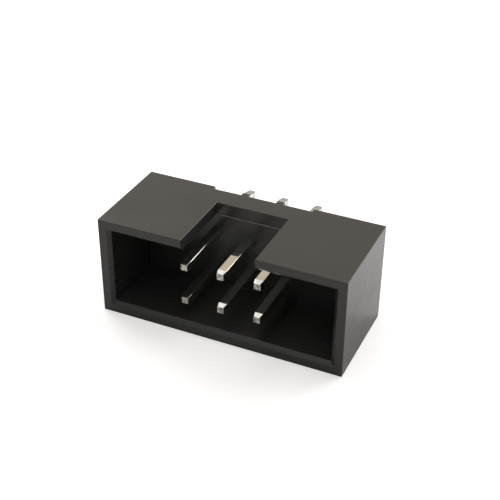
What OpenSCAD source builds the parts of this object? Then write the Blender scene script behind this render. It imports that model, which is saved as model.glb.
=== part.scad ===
// Shrouded box header: a keyed housing round two rows of square pins with straight solder tails.
// It is drawn standing on the board, mouth up, and then laid on its plain long wall:
// +X runs along the rows, +Y is the way the tails point and +Z is the slotted wall's side.
// The origin is in the board face, at the middle of the pin pattern.

/* [Contacts] */
// Spacing of the pins along a row
pitch = 2; // [1.6:0.05:3]
// Spacing of the two rows
row_spacing = 2; // [1.4:0.05:2.3]
// Number of pins in each row
pins_per_row = 3; // [2:1:8]
// Side of the square pin
pin_side = 0.5; // [0.35:0.01:0.65]
// Depth of the pin tips below the rim
tip_below_rim = 0.28; // [0.1:0.02:1.5]
// Reach of the solder tails past the board face
tail_reach = 3; // [1.5:0.1:5]
// Length of the taper at the mating tip
tip_taper = 0.3; // [0.1:0.05:0.8]
// Length of the taper at the end of the tail
tail_taper = 0.45; // [0.1:0.05:0.8]
// Amount that a taper takes off each side of the pin
taper_inset = 0.07; // [0.02:0.01:0.15]

/* [Housing] */
// Distance from the last pin to the outside of the end wall
end_length = 4.7; // [3.6:0.1:8]
// Width over the two long walls
body_width = 5.55; // [5.2:0.05:8]
// Height of the rim above the board
body_height = 5.6; // [4.5:0.1:9]
// Thickness of the four walls
wall = 0.65; // [0.4:0.05:0.85]
// Height of the cavity floor above the board
floor_height = 1.58; // [1.2:0.02:2.2]
// Lead-in bevel round the mouth
lead_in = 0.2; // [0.05:0.01:0.3]
// Radius of the four long outer edges
edge_radius = 0.03; // [0.02:0.01:0.2]

/* [Key slot] */
// Width of the slot in the long wall
slot_width = 4; // [2:0.1:6]
// Depth of the slot's closed end below the cavity floor
slot_step = 0.08; // [0.02:0.01:0.3]

/* [Standoff] */
// Width of the ribs that stand on the board between the pins
rib_width = 0.4; // [0.2:0.05:0.7]
// Depth of the drain slots between the ribs
drain_depth = 0.25; // [0.1:0.05:0.5]

/* [Hidden] */
$fn = 48;
row_length = (pins_per_row - 1) * pitch;
body_length = row_length + 2 * end_length;
cavity_length = body_length - 2 * wall;
cavity_width = body_width - 2 * wall;
drain_width = pitch - rib_width;
slot_end = floor_height - slot_step;
pin_top = body_height - tip_below_rim;
pin_count = 2 * pins_per_row;
// Reach of a cutter past the face that it opens
past = 1;
plastic_colour = "#33312f";
plating_colour = "#d2cec6";

// Pin 1 is at the +X end of the row beside the slot, and odd numbers stay in that row
function pin_x(number) = row_length / 2 - floor((number - 1) / 2) * pitch;
function pin_y(number) = (number % 2 == 1 ? 1 : -1) * row_spacing / 2;
function pin_name(number) = str("pin_", number);

// Turns the standing header on to its plain long wall
module laid_down() {
    rotate([90, 0, 0]) children();
}

// Rectangle with round corners, centred
module rounded_rectangle(length, width, radius) {
    square([length - 2 * radius, width], center = true);
    square([length, width - 2 * radius], center = true);
    for (x = [-1, 1], y = [-1, 1])
        translate([x * (length / 2 - radius), y * (width / 2 - radius)]) circle(radius);
}

// Rectangular block that stands on its bottom face, centred along X and Y
module block(length, width, bottom, top) {
    translate([-length / 2, -width / 2, bottom]) cube([length, width, top - bottom]);
}

// Profile of a prism that widens by 45 degrees on both sides as it rises
module flared_profile(bottom_width, rise) {
    top_width = bottom_width + 2 * rise;
    polygon([
        [-bottom_width / 2, 0],
        [bottom_width / 2, 0],
        [top_width / 2, rise],
        [-top_width / 2, rise]
    ]);
}

// Opening that flares on all four sides, made where two flared prisms cross
module flared_mouth(length, width, rise) {
    intersection() {
        rotate([90, 0, 0])
            linear_extrude(width + 2 * rise + 2 * past, center = true) flared_profile(length, rise);
        rotate([90, 0, 90])
            linear_extrude(length + 2 * rise + 2 * past, center = true) flared_profile(width, rise);
    }
}

// Side view of a pin: straight, with a short taper at the tip and at the end of the tail
module pin_profile() {
    half = pin_side / 2;
    end_half = half - taper_inset;
    polygon([
        [-end_half, -tail_reach],
        [end_half, -tail_reach],
        [half, -tail_reach + tail_taper],
        [half, pin_top - tip_taper],
        [end_half, pin_top],
        [-end_half, pin_top],
        [-half, pin_top - tip_taper],
        [-half, -tail_reach + tail_taper]
    ]);
}

// Square pin, tapered on all four sides, made where two side views cross
module standing_pin() {
    intersection() {
        rotate([90, 0, 0]) linear_extrude(2 * pin_side, center = true) pin_profile();
        rotate([90, 0, 90]) linear_extrude(2 * pin_side, center = true) pin_profile();
    }
}

module cavity() {
    block(cavity_length, cavity_width, floor_height, body_height + past);
    translate([0, 0, body_height - lead_in]) flared_mouth(cavity_length, cavity_width, lead_in + past);
}

module key_slot() {
    translate([-slot_width / 2, cavity_width / 2, slot_end])
        cube([slot_width, wall + past, body_height - slot_end + past]);
}

// One slot across the underside for each pair of pins
module drain_slots() {
    for (column = [1 : pins_per_row])
        translate([pin_x(2 * column), 0, 0]) block(drain_width, body_width + 2 * past, -past, drain_depth);
}

module pin_holes() {
    for (number = [1 : pin_count])
        translate([pin_x(number), pin_y(number), 0]) block(pin_side, pin_side, -past, floor_height + past);
}

module housing() {
    color(plastic_colour) laid_down() difference() {
        linear_extrude(body_height) rounded_rectangle(body_length, body_width, edge_radius);
        cavity();
        key_slot();
        drain_slots();
        pin_holes();
    }
}

module pin(number) {
    color(plating_colour) laid_down() translate([pin_x(number), pin_y(number), 0]) standing_pin();
}

housing();
for (number = [1 : pin_count])
    pin(number);
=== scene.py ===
"""Looks of the shrouded box header: the moulded housing, the plated pins, the light and the camera."""
import math

import bmesh
import bpy
from mathutils import Matrix, Vector


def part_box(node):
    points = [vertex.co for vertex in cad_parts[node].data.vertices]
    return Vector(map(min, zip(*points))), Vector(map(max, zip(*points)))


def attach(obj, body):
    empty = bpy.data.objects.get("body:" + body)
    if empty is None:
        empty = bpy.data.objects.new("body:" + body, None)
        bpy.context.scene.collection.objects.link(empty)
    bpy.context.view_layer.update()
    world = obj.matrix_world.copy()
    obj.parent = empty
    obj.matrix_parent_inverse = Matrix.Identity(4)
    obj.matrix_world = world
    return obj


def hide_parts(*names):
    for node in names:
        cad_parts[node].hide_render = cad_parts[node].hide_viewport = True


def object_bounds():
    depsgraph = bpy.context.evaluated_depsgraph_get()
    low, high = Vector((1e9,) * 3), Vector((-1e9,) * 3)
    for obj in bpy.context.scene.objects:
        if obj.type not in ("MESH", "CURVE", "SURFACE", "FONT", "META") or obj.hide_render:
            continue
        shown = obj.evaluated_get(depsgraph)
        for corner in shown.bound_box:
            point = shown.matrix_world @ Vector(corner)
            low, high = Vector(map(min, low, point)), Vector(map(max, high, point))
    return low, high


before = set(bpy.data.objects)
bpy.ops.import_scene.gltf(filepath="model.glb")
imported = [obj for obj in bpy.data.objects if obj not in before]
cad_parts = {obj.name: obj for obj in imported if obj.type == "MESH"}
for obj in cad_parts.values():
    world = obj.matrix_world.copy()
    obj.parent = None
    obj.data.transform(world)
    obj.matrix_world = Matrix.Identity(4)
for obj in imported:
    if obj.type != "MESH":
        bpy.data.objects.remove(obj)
cad_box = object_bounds()

# Meshes are built in millimetres and end up in metres
MM = 0.001

# Housing, in millimetres
WALL = 0.65
FLOOR_HEIGHT = 1.58
LEAD_IN = 0.2
SLOT_WIDTH = 4.0
SLOT_STEP = 0.08
RIB_WIDTH = 0.4
DRAIN_DEPTH = 0.25

# Radii of the housing's edges, in millimetres
OUTER_RADIUS = 0.03
MOUTH_RADIUS = 0.03
SLOT_RADIUS = 0.03
LEDGE_RADIUS = 0.055
LEDGE_FILLET = 0.01
CORNER_FILLET = 0.03
DRAIN_RADIUS = 0.03
HOLE_RADIUS = 0.03
EDGE_SEGMENTS = 4

# Pins, in millimetres
TIP_TAPER = 0.3
TAIL_TAPER = 0.45
TAPER_INSET = 0.07
PIN_EDGE_RADIUS = 0.045
PIN_END_RADIUS = 0.03

# Reach of a cutter past the face that it opens, in millimetres
PAST = 1.0
# Two places nearer than this are the same, in millimetres
NEAR = 1e-3
# Faces that meet at less than the first angle are joined, and edges over the second are rounded
FLAT_ANGLE = math.radians(0.5)
ROUNDED_ANGLE = math.radians(1)
# Material index that roundings have until mark_faces has marked them
ROUNDING_INDEX = 1

# Marks on the faces, which the materials read: rounded edges, which get a painted highlight, and the ledge's
# rounded edge, which gets a brighter painted highlight line
ROUNDED = 1.0
LEDGE_HIGHLIGHT_MARK = 2.0
# Pin faces that point along the pin by more than these shares are sheared ends, or else coined tapers
SHEARED_LEAN = 0.95
COINED_LEAN = 0.1
# How torn the two are
SHEARED = 1.0
COINED = 0.18

# Colours of the moulding
MOULDING = (0.0255, 0.025, 0.024)
MOULDING_CLOUD = (0.029, 0.0285, 0.0275)
GLASS_SPECK = (0.048, 0.047, 0.045)
# Painted highlight: the rounded edges are painted paler than the moulding, broken up by noise
PAINTED_EDGE_HIGHLIGHT = (0.060, 0.058, 0.056)
# Painted highlight: a bright line painted on the ledge's rounded edge, where the overhead lamp shines
PAINTED_LEDGE_HIGHLIGHT = (0.22, 0.215, 0.205)

# Colours of the metal, each clear and hazed, or torn dark and torn bright
CONTACT_TIN = (0.63, 0.628, 0.565), (0.57, 0.566, 0.505)
TAIL_TIN = (0.565, 0.57, 0.575), (0.50, 0.505, 0.51)
TORN_METAL = (0.14, 0.139, 0.125), (0.70, 0.70, 0.64)
METALLIC = 0.975
# Roughness that the tails' tin and the torn ends add
TAIL_HAZE = 0.09
TORN_ROUGHNESS = 0.22
# The contacts' tin turns to the tails' tin between these places along the pin, inside the housing's floor
TAIL_TIN_STARTS = -1.2 * MM
TAIL_TIN_FULL = -0.6 * MM

# Noise patterns: features for each metre, number of finer layers and their strength
CLOUDS = 420.0, 3.0, 0.55
GRAIN = 9000.0, 5.0, 0.6
# Noise that breaks up the painted highlights on the rounded edges and on the ledge
HIGHLIGHT_BREAKUP = 2600.0, 3.0, 0.55
HAZE = 1500.0, 4.0, 0.55
TEARS = 7000.0, 3.0, 0.6
# The drawn lines are noise that is stretched along the pin, by features for each metre along X, Y and Z
LINES = 1.0, 3.0, 0.55
LINE_STRETCH = 24000.0, 500.0, 24000.0
# What a pattern does: its low and its high value, and the effect at each, which is 0 and 1 if not given
CLOUDED = 0.35, 0.65
SPECKED = 0.56, 0.72, 0.0, 0.4
# Spread of the painted highlight on the rounded edges
EDGE_HIGHLIGHT_SPREAD = 0.42, 0.68, 0.0, 0.6
# Breakup of the painted highlight line on the ledge
LEDGE_HIGHLIGHT_BREAKUP = 0.3, 0.6, 0.5, 1.0
MOULDING_ROUGHNESS = 0.3, 0.7, 0.22, 0.28
HAZED = 0.35, 0.7
TORN_BRIGHT = 0.40, 0.62
HAZE_ROUGHNESS = 0.3, 0.7, 0.04, 0.08
LINE_ROUGHNESS = 0.4, 0.7, 0.0, 0.03
# Relief of the patterns: strength, and depth in metres
GRAIN_RELIEF = 0.2, 4e-6
LINE_RELIEF = 0.1, 1e-6
TEAR_RELIEF = 0.5, 2e-5

# Floor: its size in metres, its grey, how much it glows for the camera, and at most in reflections
FLOOR_RADIUS = 0.2
FLOOR_SIDES = 64
FLOOR_GREY = 0.8
FLOOR_SEEN = 0.45
FLOOR_REFLECTED = 0.3
# That reflected glow is painted light: it grows from the first to the second place along Y, so the floor
# reflects dimmer before the object than behind it
PAINTED_FALLOFF_FROM = -2 * MM
PAINTED_FALLOFF_TO = 8 * MM

# Room: what the camera sees of it and what reflections do, and the heights at which its glows change colour
ROOM_SEEN = 1.0
ROOM_REFLECTED = 0.045
GLOW_LOW = 0.2
GLOW_HIGH = 0.55
# Glows of the room: azimuth and elevation in degrees, edge as a cosine, colours low down and high up
GLOWS = (
    (205, 45, 0.2, (0.69, 0.69, 0.685), (0.77, 0.67, 0.55)),
    (20, 60, 0.6, (0.87, 0.87, 0.87), (0.87, 0.87, 0.87)),
)

# Soft boxes: name, side in metres, radiance, azimuth and elevation in degrees, distance in metres, colour
WHITE = (1.0, 1.0, 1.0)
DAYLIGHT = (0.88, 1.0, 1.18)
LAMPS = (
    ("box_above", 0.20, 0.75, 200, 65, 0.30, DAYLIGHT),
    ("box_left_back", 0.12, 5.1, 240, 35, 0.25, WHITE),
    ("box_right_back", 0.12, 3.0, 155, 40, 0.25, WHITE),
    ("box_right_low", 0.12, 3.2, 135, 15, 0.20, WHITE),
)

# Camera: degrees round and above the object, and its tilt
AZIMUTH = 24.177
ELEVATION = 32.756
ROLL = 0.536
# Its focal length and the picture's width, in the photo's pixels, and the sensor's width in millimetres
FOCAL_PIXELS = 1041.343
WIDTH_PIXELS = 500
SENSOR = 36.0
# The frame's origin, in metres to the right of, below and before the lens, and the range that is seen
ORIGIN_SEEN = (0.000709, -0.000408, 0.055876)
NEAREST_SEEN = 0.001
FARTHEST_SEEN = 10.0


def corners_of(node):
    """Lowest and highest corner of a node, in millimetres."""
    return [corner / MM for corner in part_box(node)]


# Places that the housing's cuts and edges share, in millimetres, from the frame
PIN_NODES = sorted(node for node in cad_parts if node.startswith("pin_"))
PINS = [corners_of(node) for node in PIN_NODES]
LOW, HIGH = corners_of("housing")
MIDDLE = (LOW.x + HIGH.x) / 2
RIM = LOW.y
BACK = HIGH.y
CAVITY_FLOOR = BACK - FLOOR_HEIGHT
SLOT_END = CAVITY_FLOOR + SLOT_STEP
SLOTTED_SIDE = HIGH.z - WALL


def new_object(name, data):
    """Links a new object to the scene."""
    piece = bpy.data.objects.new(name, data)
    bpy.context.scene.collection.objects.link(piece)
    return piece


def mesh_of(name, bm):
    """Turns a bmesh into a mesh."""
    mesh = bpy.data.meshes.new(name)
    bm.to_mesh(mesh)
    bm.free()
    return mesh


def block_mesh(name, low, high):
    """Closed rectangular block between two corners."""
    bm = bmesh.new()
    for vert in bmesh.ops.create_cube(bm, size=1.0)["verts"]:
        vert.co = Vector(l + (h - l) * (c + 0.5) for l, h, c in zip(low, high, vert.co))
    return mesh_of(name, bm)


def loft_mesh(name, low, high, rings):
    """Joins rectangles that follow each other along Y: sections of a box, moved in, given as (y, inset)."""
    bm = bmesh.new()
    loops = []
    for y, inset in rings:
        left, right = low.x + inset, high.x - inset
        bottom, top = low.z + inset, high.z - inset
        corners = ((left, bottom), (right, bottom), (right, top), (left, top))
        loops.append([bm.verts.new((x, y, z)) for x, z in corners])
    bm.faces.new(loops[0])
    bm.faces.new(loops[-1][::-1])
    for first, second in zip(loops, loops[1:]):
        for i in range(len(first)):
            j = (i + 1) % len(first)
            bm.faces.new((first[i], second[i], second[j], first[j]))
    bmesh.ops.recalc_face_normals(bm, faces=bm.faces)
    return mesh_of(name, bm)


def evaluated(piece):
    """A new mesh with the piece's modifiers applied."""
    graph = bpy.context.evaluated_depsgraph_get()
    return bpy.data.meshes.new_from_object(piece.evaluated_get(graph))


def discard(*pieces):
    """Removes objects with their meshes."""
    for piece in pieces:
        mesh = piece.data
        bpy.data.objects.remove(piece)
        bpy.data.meshes.remove(mesh)


def subtract(name, body, cutters):
    """Cuts every mesh in cutters from the mesh body."""
    piece = new_object(name, body)
    tools = [new_object(name + "_cut", cutter) for cutter in cutters]
    for tool in tools:
        step = piece.modifiers.new("cut", "BOOLEAN")
        step.operation = "DIFFERENCE"
        step.solver = "EXACT"
        step.object = tool
    result = evaluated(piece)
    discard(piece, *tools)
    return result


def rounded(name, mesh, radius_of):
    """Rounds the edges of a mesh, each by the radius that radius_of gives for it."""
    bm = bmesh.new()
    bm.from_mesh(mesh)
    bmesh.ops.remove_doubles(bm, verts=bm.verts, dist=NEAR)
    bmesh.ops.dissolve_limit(bm, angle_limit=FLAT_ANGLE, verts=bm.verts, edges=bm.edges)
    bm.normal_update()
    weights = bm.edges.layers.float.new("bevel_weight_edge")
    radii = {}
    for edge in bm.edges:
        if len(edge.link_faces) == 2 and edge.calc_face_angle() > ROUNDED_ANGLE:
            radii[edge] = radius_of(edge)
    largest = max(radii.values())
    for edge, radius in radii.items():
        edge[weights] = radius / largest
    for face in bm.faces:
        face.smooth = True
    bm.to_mesh(mesh)
    bm.free()
    piece = new_object(name, mesh)
    step = piece.modifiers.new("round", "BEVEL")
    step.limit_method = "WEIGHT"
    step.offset_type = "OFFSET"
    step.width = largest
    step.segments = EDGE_SEGMENTS
    step.miter_outer = "MITER_SHARP"
    step.use_clamp_overlap = True
    step.harden_normals = True
    step.material = ROUNDING_INDEX
    mesh.materials.append(None)
    mesh.materials.append(None)
    result = evaluated(piece)
    discard(piece)
    return result


def mark_faces(mesh, has_ledge_highlight=lambda point: False):
    """Marks the faces that are rounded edges, with or without the ledge's painted highlight line, and those
    that are cut ends.
    """
    painted_highlight_mark = mesh.attributes.new("painted_highlight_mark", "FLOAT", "FACE")
    sheared = mesh.attributes.new("sheared", "FLOAT", "FACE")
    for polygon in mesh.polygons:
        if polygon.material_index == ROUNDING_INDEX:
            painted_highlight_mark.data[polygon.index].value = LEDGE_HIGHLIGHT_MARK if has_ledge_highlight(polygon.center) else ROUNDED
        lean = abs(polygon.normal.y)
        if lean > SHEARED_LEAN:
            sheared.data[polygon.index].value = SHEARED
        elif lean > COINED_LEAN:
            sheared.data[polygon.index].value = COINED
        polygon.material_index = 0
    mesh.materials.clear()
    return mesh


def on(value, *places):
    return any(abs(value - known) < NEAR for known in places)


def beside_pin(point):
    return any(low.x - NEAR < point.x < high.x + NEAR and low.z - NEAR < point.z < high.z + NEAR
               for low, high in PINS)


def on_ledge(point):
    """Tells whether a point is on the round edge between the cavity's floor and the slot's end."""
    reach = LEDGE_RADIUS + NEAR
    return (abs(point.x - MIDDLE) < SLOT_WIDTH / 2 and abs(point.z - SLOTTED_SIDE) < reach
            and CAVITY_FLOOR - NEAR < point.y < CAVITY_FLOOR + reach)


def housing_radius(edge):
    """Radius of an edge of the housing, told from where its middle lies."""
    a, b = (vert.co for vert in edge.verts)
    middle = (a + b) / 2
    outside = on(middle.x, LOW.x, HIGH.x) + on(middle.z, LOW.z, HIGH.z)
    from_middle = abs(middle.x - MIDDLE)
    if beside_pin(middle):
        return HOLE_RADIUS if on(a.y, b.y) else 0.0
    if outside + on(middle.y, RIM, BACK) == 2:
        return OUTER_RADIUS
    if middle.y > BACK - DRAIN_DEPTH - NEAR:
        return DRAIN_RADIUS
    if on(from_middle, SLOT_WIDTH / 2) and middle.z > SLOTTED_SIDE - NEAR or outside:
        return SLOT_RADIUS
    if middle.y < RIM + LEAD_IN + NEAR:
        return MOUTH_RADIUS
    if on(middle.z, SLOTTED_SIDE) and from_middle < SLOT_WIDTH / 2:
        return LEDGE_RADIUS if edge.is_convex else LEDGE_FILLET
    return SLOT_RADIUS if edge.is_convex else CORNER_FILLET


def housing_cutters():
    """The cavity with its lead-in, the key slot, a drain slot for each pair of pins, and the pin holes."""
    cutters = [
        loft_mesh("cavity", LOW, HIGH, (
            (CAVITY_FLOOR, WALL),
            (RIM + LEAD_IN, WALL),
            (RIM - PAST, WALL - LEAD_IN - PAST),
        )),
        block_mesh("slot", (MIDDLE - SLOT_WIDTH / 2, RIM - PAST, SLOTTED_SIDE),
                   (MIDDLE + SLOT_WIDTH / 2, SLOT_END, HIGH.z + PAST)),
    ]
    columns = sorted({round((low.x + high.x) / 2, 3) for low, high in PINS})
    drain_half = (columns[1] - columns[0] - RIB_WIDTH) / 2
    for x in columns:
        cutters.append(block_mesh("drain", (x - drain_half, BACK - DRAIN_DEPTH, LOW.z - PAST),
                                  (x + drain_half, BACK + PAST, HIGH.z + PAST)))
    for low, high in PINS:
        cutters.append(block_mesh("hole", (low.x, CAVITY_FLOOR - PAST, low.z),
                                  (high.x, BACK + PAST, high.z)))
    return cutters


def housing_mesh():
    """Keyed housing with its cuts and rounded edges."""
    cut = subtract("housing_body", block_mesh("housing_body", LOW, HIGH), housing_cutters())
    return mark_faces(rounded("housing_body", cut, housing_radius), on_ledge)


def pin_radius(edge):
    a, b = (vert.co for vert in edge.verts)
    return PIN_END_RADIUS if on(a.y, b.y) else PIN_EDGE_RADIUS


def pin_mesh(node):
    """Square pin with a taper at the tip and at the end of the tail, and rounded edges."""
    low, high = corners_of(node)
    mesh = loft_mesh(node, low, high, (
        (low.y, TAPER_INSET),
        (low.y + TIP_TAPER, 0.0),
        (high.y - TAIL_TAPER, 0.0),
        (high.y, TAPER_INSET),
    ))
    return mark_faces(rounded(node, mesh, pin_radius))


def place(name, mesh, node, material):
    """Puts a mesh made in millimetres in the frame, in place of a node."""
    mesh.transform(Matrix.Scale(MM, 4))
    piece = new_object(name, mesh)
    mesh.materials.append(material)
    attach(piece, "root")
    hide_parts(node)


class Nodes:
    """Short forms for making and linking shader nodes."""

    def __init__(self, tree):
        self.tree = tree
        tree.nodes.clear()

    def add(self, kind, **values):
        node = self.tree.nodes.new(kind)
        for name, value in values.items():
            setattr(node, name, value)
        return node

    def link(self, source, target):
        self.tree.links.new(source, target)

    def noise(self, vector, scale, detail, roughness):
        node = self.add("ShaderNodeTexNoise")
        node.inputs["Scale"].default_value = scale
        node.inputs["Detail"].default_value = detail
        node.inputs["Roughness"].default_value = roughness
        self.link(vector, node.inputs["Vector"])
        return node.outputs["Fac"]

    def remap(self, value, low, high, to_low=0.0, to_high=1.0, shape="LINEAR"):
        node = self.add("ShaderNodeMapRange", interpolation_type=shape)
        for name, number in zip(("From Min", "From Max", "To Min", "To Max"), (low, high, to_low, to_high)):
            node.inputs[name].default_value = number
        self.link(value, node.inputs["Value"])
        return node.outputs["Result"]

    def math(self, operation, first, second):
        node = self.add("ShaderNodeMath", operation=operation)
        for socket, value in zip(node.inputs, (first, second)):
            if isinstance(value, float):
                socket.default_value = value
            else:
                self.link(value, socket)
        return node.outputs["Value"]

    def mix(self, factor, first, second):
        node = self.add("ShaderNodeMix", data_type="RGBA")
        self.link(factor, node.inputs["Factor"])
        sockets = [s for s in node.inputs if s.type == "RGBA"]
        for socket, value in zip(sockets, (first, second)):
            if isinstance(value, tuple):
                socket.default_value = (*value, 1.0)
            else:
                self.link(value, socket)
        return [s for s in node.outputs if s.type == "RGBA"][0]

    def seen(self, directly, reflected):
        """A strength for what the camera sees, and another for what shows in metal, gloss and glass."""
        path = self.add("ShaderNodeLightPath")
        mirrored = self.math("MAXIMUM", path.outputs["Is Glossy Ray"], path.outputs["Is Transmission Ray"])
        return self.math("ADD", self.math("MULTIPLY", path.outputs["Is Camera Ray"], directly),
                         self.math("MULTIPLY", mirrored, reflected))

    def marked(self, name):
        return self.add("ShaderNodeAttribute", attribute_name=name).outputs["Fac"]

    def along(self, axis, vector):
        node = self.add("ShaderNodeSeparateXYZ")
        self.link(vector, node.inputs["Vector"])
        return node.outputs[axis]

    def stretched(self, vector, scale):
        node = self.add("ShaderNodeMapping")
        node.inputs["Scale"].default_value = scale
        self.link(vector, node.inputs["Vector"])
        return node.outputs["Vector"]

    def bump(self, height, strength, depth, normal=None):
        node = self.add("ShaderNodeBump")
        node.inputs["Strength"].default_value = strength
        node.inputs["Distance"].default_value = depth
        self.link(height, node.inputs["Height"])
        if normal is not None:
            self.link(normal, node.inputs["Normal"])
        return node.outputs["Normal"]

    def both(self, first, second):
        """The light of two shaders together."""
        node = self.add("ShaderNodeAddShader")
        self.link(first, node.inputs[0])
        self.link(second, node.inputs[1])
        return node.outputs["Shader"]


def new_material(name):
    """A material, its nodes, the coordinates that its patterns follow and the socket for its shader."""
    material = bpy.data.materials.new(name)
    material.use_nodes = True
    nodes = Nodes(material.node_tree)
    position = nodes.add("ShaderNodeTexCoord").outputs["Object"]
    surface = nodes.add("ShaderNodeOutputMaterial").inputs["Surface"]
    return material, nodes, position, surface


def plastic_material():
    """Satin black glass-filled moulding: fine grain, faint clouding, and painted highlights: rounded edges
    painted a little paler, and a bright painted line on the ledge's edge.
    """
    material, nodes, position, surface = new_material("black_moulding")
    shader = nodes.add("ShaderNodeBsdfPrincipled")
    nodes.link(shader.outputs["BSDF"], surface)
    clouds = nodes.noise(position, *CLOUDS)
    grain = nodes.noise(position, *GRAIN)
    highlight_breakup = nodes.noise(position, *HIGHLIGHT_BREAKUP)
    base = nodes.mix(nodes.remap(clouds, *CLOUDED), MOULDING, MOULDING_CLOUD)
    specked = nodes.mix(nodes.remap(grain, *SPECKED), base, GLASS_SPECK)
    # Painted highlight: the rounded edges are lightened, broken up by noise
    painted_highlight_mark = nodes.marked("painted_highlight_mark")
    painted_edge_highlight = nodes.math("MULTIPLY", painted_highlight_mark, nodes.remap(highlight_breakup, *EDGE_HIGHLIGHT_SPREAD))
    highlit_edges = nodes.mix(painted_edge_highlight, specked, PAINTED_EDGE_HIGHLIGHT)
    # Painted highlight: a bright line on the ledge's rounded edge
    on_highlit_ledge = nodes.remap(painted_highlight_mark, ROUNDED, LEDGE_HIGHLIGHT_MARK)
    painted_ledge_line = nodes.math("MULTIPLY", on_highlit_ledge, nodes.remap(highlight_breakup, *LEDGE_HIGHLIGHT_BREAKUP))
    nodes.link(nodes.mix(painted_ledge_line, highlit_edges, PAINTED_LEDGE_HIGHLIGHT), shader.inputs["Base Color"])
    nodes.link(nodes.remap(clouds, *MOULDING_ROUGHNESS), shader.inputs["Roughness"])
    nodes.link(nodes.bump(grain, *GRAIN_RELIEF), shader.inputs["Normal"])
    return material


def tin_material():
    """Bright tin over drawn square wire: lines along the pin, a little haze, torn ends and cooler tails."""
    material, nodes, position, surface = new_material("bright_tin")
    shader = nodes.add("ShaderNodeBsdfPrincipled")
    nodes.link(shader.outputs["BSDF"], surface)
    lines = nodes.noise(nodes.stretched(position, LINE_STRETCH), *LINES)
    haze = nodes.noise(position, *HAZE)
    torn = nodes.noise(position, *TEARS)
    sheared = nodes.marked("sheared")
    tail = nodes.remap(nodes.along("Y", position), TAIL_TIN_STARTS, TAIL_TIN_FULL)
    hazed = nodes.remap(haze, *HAZED)
    tin = nodes.mix(tail, nodes.mix(hazed, *CONTACT_TIN), nodes.mix(hazed, *TAIL_TIN))
    dull = nodes.mix(nodes.remap(torn, *TORN_BRIGHT), *TORN_METAL)
    nodes.link(nodes.mix(sheared, tin, dull), shader.inputs["Base Color"])
    shader.inputs["Metallic"].default_value = METALLIC
    drawn = nodes.math("ADD", nodes.remap(haze, *HAZE_ROUGHNESS), nodes.remap(lines, *LINE_ROUGHNESS))
    matte = nodes.math("ADD", drawn, nodes.math("MULTIPLY", tail, TAIL_HAZE))
    rough = nodes.math("ADD", matte, nodes.math("MULTIPLY", sheared, TORN_ROUGHNESS))
    nodes.link(rough, shader.inputs["Roughness"])
    relief = nodes.bump(lines, *LINE_RELIEF)
    tears = nodes.math("MULTIPLY", sheared, torn)
    nodes.link(nodes.bump(tears, *TEAR_RELIEF, relief), shader.inputs["Normal"])
    return material


def floor_material():
    """White floor that keeps the shadow and shows as the white ground in the picture; in reflections it glows
    as painted light, dim before the object and brighter behind it.
    """
    material, nodes, position, surface = new_material("white_floor")
    diffuse = nodes.add("ShaderNodeBsdfDiffuse")
    diffuse.inputs["Color"].default_value = (FLOOR_GREY, FLOOR_GREY, FLOOR_GREY, 1.0)
    # Painted light: in reflections the floor glows brighter behind the object than before it, a painted
    # falloff of the light
    painted_falloff = nodes.remap(nodes.along("Y", position), PAINTED_FALLOFF_FROM, PAINTED_FALLOFF_TO, 0.0, FLOOR_REFLECTED, "SMOOTHSTEP")
    glow = nodes.add("ShaderNodeEmission")
    nodes.link(nodes.seen(FLOOR_SEEN, painted_falloff), glow.inputs["Strength"])
    nodes.link(nodes.both(diffuse.outputs["BSDF"], glow.outputs["Emission"]), surface)
    return material


def make_floor():
    """Disc under the object, which the object lies on."""
    low, high = cad_box
    bm = bmesh.new()
    bmesh.ops.create_circle(bm, cap_ends=True, segments=FLOOR_SIDES, radius=FLOOR_RADIUS)
    floor = new_object("floor", mesh_of("floor", bm))
    floor.location = ((low.x + high.x) / 2, (low.y + high.y) / 2, low.z)
    floor.data.materials.append(floor_material())


def heading(azimuth, elevation):
    """Unit vector towards a place round the object, from the mouth's side, and above it, in degrees."""
    a, e = math.radians(azimuth), math.radians(elevation)
    return Vector((math.sin(a) * math.cos(e), -math.cos(a) * math.cos(e), math.sin(e)))


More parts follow.
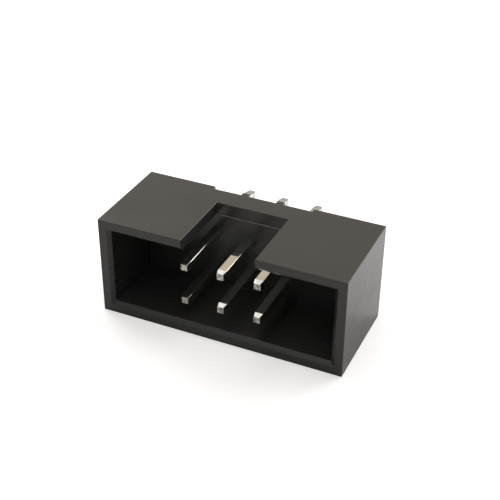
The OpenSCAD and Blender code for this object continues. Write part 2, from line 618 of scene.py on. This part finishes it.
def make_camera():
    """The camera of the photograph, from where it sees the frame's origin."""
    forward = -heading(AZIMUTH, ELEVATION)
    right = forward.cross(Vector((0, 0, 1))).normalized()
    down = forward.cross(right)
    r = math.radians(ROLL)
    right, down = right * math.cos(r) - down * math.sin(r), right * math.sin(r) + down * math.cos(r)
    x, y, z = ORIGIN_SEEN
    data = bpy.data.cameras.new("camera")
    data.sensor_width = SENSOR
    data.lens = SENSOR * (FOCAL_PIXELS / WIDTH_PIXELS)
    data.clip_start = NEAREST_SEEN
    data.clip_end = FARTHEST_SEEN
    camera = new_object("camera", data)
    axes = Matrix((right, -down, -forward)).transposed()
    camera.matrix_world = Matrix.Translation(-(right * x + down * y + forward * z)) @ axes.to_4x4()
    bpy.context.scene.camera = camera


def make_lamp(name, size, radiance, azimuth, elevation, distance, colour):
    """Square soft box that faces the origin, of the given radiance."""
    data = bpy.data.lights.new(name, "AREA")
    data.color = colour
    data.shape = "SQUARE"
    data.size = size
    data.energy = radiance * math.pi * size * size
    direction = heading(azimuth, elevation)
    lamp = new_object(name, data)
    lamp.location = direction * distance
    lamp.rotation_euler = direction.to_track_quat("Z", "Y").to_euler()


def make_world():
    """Room that the camera sees as white ground and reflections as dim, with soft glows behind and before."""
    world = bpy.data.worlds.new("room")
    world.use_nodes = True
    bpy.context.scene.world = world
    nodes = Nodes(world.node_tree)
    towards = nodes.add("ShaderNodeTexCoord").outputs["Generated"]
    raised = nodes.remap(nodes.along("Z", towards), GLOW_LOW, GLOW_HIGH, shape="SMOOTHSTEP")
    room = nodes.add("ShaderNodeBackground")
    room.inputs["Color"].default_value = (*WHITE, 1.0)
    nodes.link(nodes.seen(ROOM_SEEN, ROOM_REFLECTED), room.inputs["Strength"])
    total = room.outputs["Background"]
    for azimuth, elevation, edge, low_colour, high_colour in GLOWS:
        part = nodes.add("ShaderNodeVectorMath", operation="DOT_PRODUCT")
        nodes.link(towards, part.inputs[0])
        part.inputs[1].default_value = heading(azimuth, elevation)
        glow = nodes.add("ShaderNodeBackground")
        nodes.link(nodes.mix(raised, low_colour, high_colour), glow.inputs["Color"])
        nodes.link(nodes.remap(part.outputs["Value"], edge, 1.0, shape="SMOOTHSTEP"), glow.inputs["Strength"])
        total = nodes.both(total, glow.outputs["Background"])
    nodes.link(total, nodes.add("ShaderNodeOutputWorld").inputs["Surface"])


plastic, tin = plastic_material(), tin_material()
place("housing_shell", housing_mesh(), "housing", plastic)
for node in PIN_NODES:
    place(node + "_plated", pin_mesh(node), node, tin)
make_floor()
make_world()
for lamp in LAMPS:
    make_lamp(*lamp)
make_camera()
bpy.context.scene.view_settings.view_transform = "Standard"
